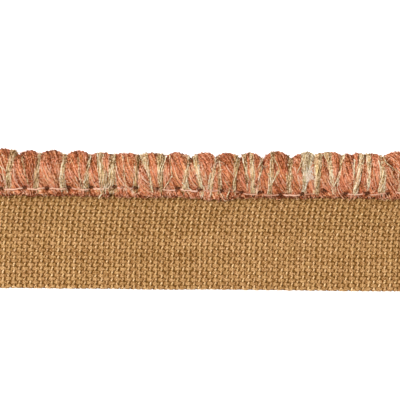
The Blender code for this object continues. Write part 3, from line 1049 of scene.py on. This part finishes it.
def addTurn(guide, turn, slant, tone, rng, holes):
    # fibres laid round one turn
    sizes = yarnSizes[turn[0]]
    width = max(turn[2], turn[4])
    reach = min(math.pi / 2 + abs(slant) / 2, sizes["farthest"])
    count = max(2, round(width / sizes["plyWidth"] * reach / (math.pi / 2)))
    for ply in range(count):
        angle = (-1 + 2 * (ply + 0.5) / count) * reach
        points, outward, hollow, ruffle, local = layLine(
            turn, angle, slant, holes, rng.gauss(0, sizes["jitterAlong"]), rng.gauss(0, sizes["footLoose"]),
            shaken(rng, sizes["tipReach"]), rng.gauss(0, sizes["jitterUp"]),
        )
        spread = np.clip(sizes["plySpread"] * local / count, sizes["leastSpread"], sizes["mostSpread"])
        # the line's painted shade and highlight, with the turn's own tone added
        guide.add(points, spread, rng.random(), hollow + tone, ruffle, outward)


class Bodies(Lines):
    # the full forms of the turns under their fibres, as closed tubes
    def __init__(self, name):
        super().__init__(name, "lay")

    def add(self, turn, slant, tone, shade, holes):
        start = len(self.points)
        sides = yarnSizes[turn[0]]["bodySides"]
        for k in range(sides):
            angle = math.tau * k / sides
            points, _, hollow, ruffle, local = layLine(
                turn, angle, slant, holes, tipShift=turnSizes["bodyTip"], lower=turnSizes["bodyInset"],
            )
            count = len(points)
            around = local / 2 + 0.3
            lay = [around * math.sin(angle), around * math.cos(angle), travelledAlong(points) + shade * 90]
            lay = np.stack(lay, axis=1)
            # the painted shade and highlight along the line, with the turn's own tone added
            self.addLine(points, lay, {"shade": shade, "hollow": hollow + tone, "ruffle": ruffle})
        for k in range(sides):
            here = start + k * count
            following = start + (k + 1) % sides * count
            for i in range(count - 1):
                self.faces.append((here + i, following + i, following + i + 1, here + i + 1))
        self.faces.append(tuple(start + k * count for k in range(sides))[::-1])
        self.faces.append(tuple(start + k * count + count - 1 for k in range(sides)))


def makeYarn(finishes, tree, shortTree):
    rng = random.Random(41)
    guides = {yarn: [Guides(yarn + "Guides")] for yarn in yarnSizes}
    guides["coral"].append(Guides("coralGuides"))
    bodies = {yarn: Bodies(yarn + "Bodies") for yarn in guides}
    holes = holePlaces()
    for turn in turnsOverLength():
        yarn = turn[0]
        width = max(turn[2], turn[4])
        slant = yarnSizes[yarn]["slant"] * rng.uniform(0.6, 1.2)
        slant = slant * min(1.0, width / turnSizes["fullSlantWidth"])
        tone = rng.gauss(0, turnSizes["toneSpread"])
        bodies[yarn].add(turn, slant, tone, rng.random(), holes)
        shortest = min(guides[yarn], key=lambda guide: len(guide.points))
        addTurn(shortest, turn, slant, tone, rng, holes)
    made = [finished(body.mesh(), finishes[yarn + "Body"]) for yarn, body in bodies.items()]
    for yarn, choices in guides.items():
        sizes = yarnSizes[yarn]
        for index, guide in enumerate(choices):
            short = {**shortSizes, "leastRuffle": sizes["leastRuffle"], "seed": 30 + index}
            made.append(grown(f"{yarn}Short{index + 1}", guide.mesh(), shortTree, finishes[yarn], short))
            long = {**sizes, "seed": 4 + index}
            made.append(grown(f"{yarn}Turns{index + 1}", guide.mesh(), tree, finishes[yarn], long))
    return made


heartSizes = {"inset": 0.62, "step": 1.0, "endInset": 0.25, "crestInset": 0.45}


def heartLine(along, inset):
    # the outline in section of what lies under the outer turns
    seam, tip = seamAt(along)
    line = sectionLine(seam, tip, whole["crest"] - heartSizes["crestInset"])[6:, 2:]
    heading = np.gradient(line, axis=0)
    heading = heading / np.linalg.norm(heading, axis=1)[:, None]
    line = line + np.stack([heading[:, 1], -heading[:, 0]], axis=1) * inset
    return np.maximum(line, [tip + 0.5, 0.1])


def makeHeart(finish):
    # the inner turns that close the cord under the outer ones, coloured a darker red than the coral yarn as
    # painted shade for the gaps between the outer turns
    count = int(whole["length"] / heartSizes["step"])
    end = heartSizes["endInset"]
    bm = bmesh.new()
    rings = []
    for k in range(count + 1):
        along = -whole["length"] / 2 + end + k * (whole["length"] - 2 * end) / count
        line = heartLine(along, heartSizes["inset"])
        rings.append([bm.verts.new((along * mm, across * mm, up * mm)) for across, up in line])
    for ring, following in zip(rings, rings[1:]):
        for i in range(len(ring)):
            j = (i + 1) % len(ring)
            bm.faces.new((ring[i], ring[j], following[j], following[i]))
    bm.faces.new(rings[0])
    bm.faces.new(rings[-1])
    bmesh.ops.recalc_face_normals(bm, faces=bm.faces[:])
    return finished(meshOf("innerTurns", bm), finish)


cutSizes = {
    "spacing": 0.29, "shaken": 0.25, "depth": 0.5, "ragged": 0.10, "inset": 0.02, "beigeShare": 0.3,
    "spread": 0.13, "strands": 4, "halfWidth": 0.085, "wander": 0.05, "twist": 2.0, "sides": 5, "seed": 3,
}


def makeCutEnds(finishes, tree):
    # the cut ends of the yarns that fill the cord, packed side by side
    rng = random.Random(29)
    guides = {"coral": Guides("cutCoral"), "beige": Guides("cutBeige")}
    spacing = cutSizes["spacing"]
    for side in (-1, 1):
        end = side * (whole["length"] / 2 - heartSizes["endInset"])
        outline = heartLine(end, heartSizes["inset"] + cutSizes["inset"])
        low = outline.min(axis=0)
        high = outline.max(axis=0)
        for row in range(int((high[1] - low[1]) / spacing) + 1):
            for column in range(int((high[0] - low[0]) / spacing) + 1):
                across = low[0] + (column + 0.5 * (row % 2) + shaken(rng, cutSizes["shaken"])) * spacing
                up = low[1] + (row + shaken(rng, cutSizes["shaken"])) * spacing
                if not inside(outline, across, up):
                    continue
                reach = side * rng.uniform(0.02, cutSizes["ragged"])
                yarn = "beige" if rng.random() < cutSizes["beigeShare"] else "coral"
                guides[yarn].add([
                    (end - side * cutSizes["depth"], across, up),
                    (end + reach * 0.7, across + shaken(rng, 0.05), up + shaken(rng, 0.05)),
                    (end + reach, across + shaken(rng, 0.08), up + shaken(rng, 0.08)),
                ], cutSizes["spread"], rng.random(), rng.uniform(0.1, 0.5), 1.0, (1.0, 0.0, 0.0))
    return [
        grown(f"{yarn}CutEnds", guide.mesh(), tree, finishes[yarn], cutSizes)
        for yarn, guide in guides.items()
    ]


def inside(outline, across, up):
    # whether a place lies within a closed outline
    crossings = 0
    for (ax, ay), (bx, by) in zip(outline, np.roll(outline, -1, axis=0)):
        if (ay > up) != (by > up) and across < ax + (up - ay) / (by - ay) * (bx - ax):
            crossings += 1
    return crossings % 2 == 1


def surfaceUp(along, across):
    # the height of the wound yarn's face above a place
    seam, _ = seamAt(along)
    share = (across - seam) / (crestLine(along)[0] - seam)
    face = turnPath[:7]
    return float(np.interp(share, [row[0] for row in face], [row[1] for row in face]))


holeShadeSizes = {
    "halfLength": 0.30, "halfWidth": 0.22, "halfHeight": 0.30, "sink": 0.40, "smallest": 0.8, "largest": 1.15,
}


def makeHoleShade(finish):
    # dark domes sunk under the needle holes: painted shade for the depths of the holes
    rng = random.Random(31)
    bm = bmesh.new()
    for along, across in holePlaces():
        up = surfaceUp(along, across) - holeShadeSizes["sink"]
        scale = rng.uniform(holeShadeSizes["smallest"], holeShadeSizes["largest"])
        for vertex in bmesh.ops.create_icosphere(bm, subdivisions=2, radius=1.0)["verts"]:
            x, y, z = vertex.co
            vertex.co = (
                (along + x * holeShadeSizes["halfLength"] * scale) * mm,
                (across + y * holeShadeSizes["halfWidth"] * scale) * mm,
                (up + z * holeShadeSizes["halfHeight"]) * mm,
            )
    return finished(meshOf("needleHoles", bm), finish)


threadSizes = {
    "up": 2.92, "dip": 0.9, "sag": 0.05, "shoulder": 0.35, "sunkShade": 4.0, "endGap": 0.5, "holeColumns": 4,
    "points": 28, "spread": 0.08, "strands": 3, "halfWidth": 0.085, "twist": 1.0, "sides": 4, "seed": 2,
}


def makeStitches(finish, tree):
    rng = random.Random(7)
    guides = Guides("stitchGuides")
    for shift in shifts:
        for i, (leftRow, rightRow, sunk) in enumerate(stitchChart):
            before = holesInPhoto[i]
            after = holesInPhoto[i + 1]
            furthest = max(abs(before[0] + shift), abs(after[0] + shift))
            if furthest > whole["length"] / 2 - threadSizes["endGap"]:
                continue
            left = fromPhoto(holeChart[i][0] + threadSizes["holeColumns"], leftRow)
            right = fromPhoto(holeChart[i + 1][0] - threadSizes["holeColumns"], rightRow)
            up = threadSizes["up"] - sunk
            line = [
                (before[0] + 0.22, before[1], up - threadSizes["dip"]),
                (before[0] + 0.36, (before[1] + left[1]) / 2, up - threadSizes["shoulder"]),
                (left[0], left[1], up - 0.03),
            ]
            for t in (0.25, 0.5, 0.75):
                arch = math.sin(t * math.pi)
                line.append((
                    left[0] + (right[0] - left[0]) * t,
                    left[1] + (right[1] - left[1]) * t - arch * rng.uniform(-0.04, 0.14),
                    up - threadSizes["sag"] * arch + rng.uniform(-0.05, 0.03),
                ))
            line += [
                (right[0], right[1], up - 0.03),
                (after[0] - 0.36, (after[1] + right[1]) / 2, up - threadSizes["shoulder"]),
                (after[0] - 0.22, after[1], up - threadSizes["dip"]),
            ]
            points = resampled([(a + shift, b, c) for a, b, c in line], threadSizes["points"])
            # painted shade where the stitch dips down into its holes, and deeper painted shade where it lies
            # sunk among the fibres
            hollow = grade(up - 0.12 - points[:, 2], 0.15) + sunk * threadSizes["sunkShade"]
            guides.add(points, threadSizes["spread"], rng.random(), hollow)
            # the same stitch underneath
            under = np.stack([points[:, 0], points[:, 1], 0.12 + (up - points[:, 2]) * 0.9], axis=1)
            guides.add(under[::3], threadSizes["spread"], rng.random())
    return grown("stitching", guides.mesh(), tree, finish, threadSizes)


fineSizes = {
    "over": 0.04, "endDip": 0.45, "endGap": 0.5, "points": 20,
    "strands": 4, "halfWidth": 0.044, "wander": 0.07, "waves": 1000.0, "twist": 1.9, "seed": 6,
}


def makeFineYarns(name, chart, finish, tree):
    rng = random.Random(19)
    guides = Guides(name + "Guides")
    for *spots, thickness in chart:
        spread = thickness * photo["mmPerPixel"] / 2 - fineSizes["halfWidth"]
        places = [fromPhoto(*spots[k:k + 2]) for k in (0, 2, 4)]
        for shift in shifts:
            if max(abs(along + shift) for along, _ in places) > whole["length"] / 2 - fineSizes["endGap"]:
                continue
            line = [(a + shift, b, surfaceUp(a + shift, b) + fineSizes["over"]) for a, b in places]
            first = line[0]
            last = line[-1]
            line.insert(0, (first[0] - 0.05, first[1] + 0.35, first[2] - fineSizes["endDip"]))
            line.append((last[0] + 0.02, last[1] - 0.3, last[2] - fineSizes["endDip"]))
            guides.add(resampled(line, fineSizes["points"]), spread, rng.random())
    return grown(name, guides.mesh(), tree, finish, fineSizes)


fluffSizes = {
    "column": 308.0, "row": 174.5, "alongReach": 0.50, "acrossReach": 0.76, "fibres": 95,
    "above": 0.2, "points": 9, "step": 0.11, "bend": 0.9, "halfWidth": 0.024, "sides": 4, "seed": 6,
}


def makeFluff(finish, tree):
    # the little tuft of pale fibres on the thick pale slub
    rng = random.Random(23)
    guides = Guides("fluffGuides")
    along, across = fromPhoto(fluffSizes["column"], fluffSizes["row"])
    centre = np.array([along, across, surfaceUp(along, across) + fluffSizes["above"]])
    for _ in range(fluffSizes["fibres"]):
        place = np.array([
            rng.gauss(0, 0.5) * fluffSizes["alongReach"],
            rng.gauss(0, 0.5) * fluffSizes["acrossReach"],
            rng.uniform(-0.1, 0.15),
        ])
        heading = np.array([shaken(rng, 1), shaken(rng, 1), rng.uniform(-0.3, 0.5)])
        points = []
        for _ in range(fluffSizes["points"]):
            points.append(tuple(place + centre))
            turned = np.array([shaken(rng, 1), shaken(rng, 1), rng.uniform(-0.6, 0.5)])
            heading = heading + turned * fluffSizes["bend"]
            heading = heading / np.linalg.norm(heading)
            place = place + heading * fluffSizes["step"]
        guides.add(points, 0.0, rng.random())
    return grown("paleTuft", guides.mesh(), tree, finish, fluffSizes)


fuzzSizes = {
    "density": 900000.0, "length": 1.1, "thickness": 0.035, "lift": 0.16, "seed": 12,
    "middle": (7.3, 2.6), "lowest": 1.2,
}


def fibreTree():
    # short curved fibres standing off a surface
    net, given = newTree("strayFibres", {
        "Length": 1.0, "Thickness": 0.02, "Lift": 0.2,
    }, {
        "Density": 500000.0,
    })
    index = net.node("GeometryNodeInputIndex")
    sockets = {"Mesh": given("Geometry"), "Density": given("Density"), "Seed": given("Seed")}
    spots = net.node("GeometryNodeDistributePointsOnFaces", sockets, distribute_method="RANDOM")
    turned = spots.output("Rotation")
    spots = stored(net, spots, "shade", randomValue(net, 0.0, 1.0, index, 5))
    length = given("Length")
    hair = bentFibre(
        net, 5, vector(net, length * -0.5, 0.0, 0.0),
        vector(net, length * 0.1, length * 0.22, given("Lift") * 2.0),
        vector(net, length * 0.5, length * 0.05, 0.0), given("Thickness") * 0.5,
    )
    angle = randomValue(net, 0.0, math.tau, index, given("Seed"))
    hairs = scattered(net, spots, hair, turned, angle, randomValue(net, 0.4, 1.3, index, 9))
    return closeTree(net, hairs, given("Material"))


def makeFuzz(heart, finish):
    # stray fibres over the turns, set on a copy of the inner form let out to the outer one
    bm = bmesh.new()
    bm.from_mesh(heart.data)
    middle = np.array(fuzzSizes["middle"]) * mm
    for vertex in bm.verts:
        out = np.array([vertex.co.y, vertex.co.z]) - middle
        out = out / (np.linalg.norm(out) + 1e-9)
        vertex.co.y += out[0] * heartSizes["inset"] * mm
        vertex.co.z = max(0.0, vertex.co.z + out[1] * heartSizes["inset"] * mm)
    ends = [face for face in bm.faces if abs(face.normal.x) > 0.9]
    lowest = fuzzSizes["lowest"] * mm
    under = [face for face in bm.faces if min(vertex.co.z for vertex in face.verts) < lowest]
    bmesh.ops.delete(bm, geom=list(set(ends + under)), context="FACES")
    return grown("strayFibres", meshOf("fuzzGround", bm), fibreTree(), finish, fuzzSizes)


# the setting

stageSizes = {
    "floorSide": 3.0,
    "floorGlow": 0.55,
    "sky": 0.75,
    "keyPower": 7.0,
    "keySize": 0.6,
    "keyPlace": (-0.40, 0.16, 0.80),
    "lens": 180.0,
    "sensor": 36.0,
    "frameWidth": 60.0,
    "aimRow": 200.0,
    "aimUp": 2.0,
    "nearest": 0.01,
    "farthest": 10.0,
}


def makeStage():
    bm = bmesh.new()
    bmesh.ops.create_grid(bm, x_segments=1, y_segments=1, size=stageSizes["floorSide"] / 2)
    material, _, _ = newFinish("paleFloor", {
        "Base Color": (0.86, 0.86, 0.86, 1.0), "Roughness": 0.9, "Specular IOR Level": 0.1,
        "Emission Color": (1.0, 1.0, 1.0, 1.0), "Emission Strength": stageSizes["floorGlow"],
    })
    floor = finished(meshOf("floor", bm), material)

    world = bpy.data.worlds.new("softSky")
    world.use_nodes = True
    sky = world.node_tree.nodes["Background"].inputs
    sky["Color"].default_value = (1.0, 1.0, 1.0, 1.0)
    sky["Strength"].default_value = stageSizes["sky"]
    bpy.context.scene.world = world

    data = bpy.data.lights.new("key", "AREA")
    data.shape = "DISK"
    data.size = stageSizes["keySize"]
    data.energy = stageSizes["keyPower"]
    key = linked("key", data)
    key.location = stageSizes["keyPlace"]
    key.rotation_mode = "QUATERNION"
    key.rotation_quaternion = key.location.to_track_quat("Z", "Y")


def makeCamera():
    data = bpy.data.cameras.new("camera")
    data.lens = stageSizes["lens"]
    data.sensor_width = stageSizes["sensor"]
    data.clip_start = stageSizes["nearest"]
    data.clip_end = stageSizes["farthest"]
    camera = linked("camera", data)
    _, aim = fromPhoto(photo["middleColumn"], stageSizes["aimRow"])
    distance = stageSizes["frameWidth"] * mm * stageSizes["lens"] / stageSizes["sensor"]
    camera.location = (0.0, aim * mm, distance + stageSizes["aimUp"] * mm)
    camera.rotation_euler = (0.0, 0.0, math.atan(photo["slope"]))
    bpy.context.scene.camera = camera
    bpy.context.scene.view_settings.view_transform = "Standard"


say("stage and camera")
makeStage()
makeCamera()
finishes = makeFinishes()

say("tape")
ground = makeGround(finishes["ground"])
threadsAcross, threadsAlong = makeWeave(finishes)
roving = rovingTree()
edgeLoops = makeEdgeLoops(finishes["tapeAcross"], roving)

say("yarn")
turns = makeYarn(finishes, roving, shortFibreTree())
heart = makeHeart(finishes["heart"])
fine = [makeFineYarns(name + "FineYarns", chart, finishes[name], roving) for name, chart in fineChart.items()]
cut = makeCutEnds(finishes, roving)
fluff = makeFluff(finishes["fluff"], roving)
fuzz = makeFuzz(heart, finishes["hair"])

say("sewing")
stitching = makeStitches(finishes["thread"], roving)
needleHoles = makeHoleShade(finishes["holes"])

pieces = {
    "tape": [ground, threadsAcross, threadsAlong, edgeLoops],
    "yarn": turns + fine + cut + [heart, fluff, fuzz, needleHoles],
    "thread": [stitching],
}
for slot, members in pieces.items():
    for piece in members:
        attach(piece, "root")
for piece in pieces["tape"]:
    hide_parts("flange_tape")
for piece in turns + [heart]:
    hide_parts("wound_cord")
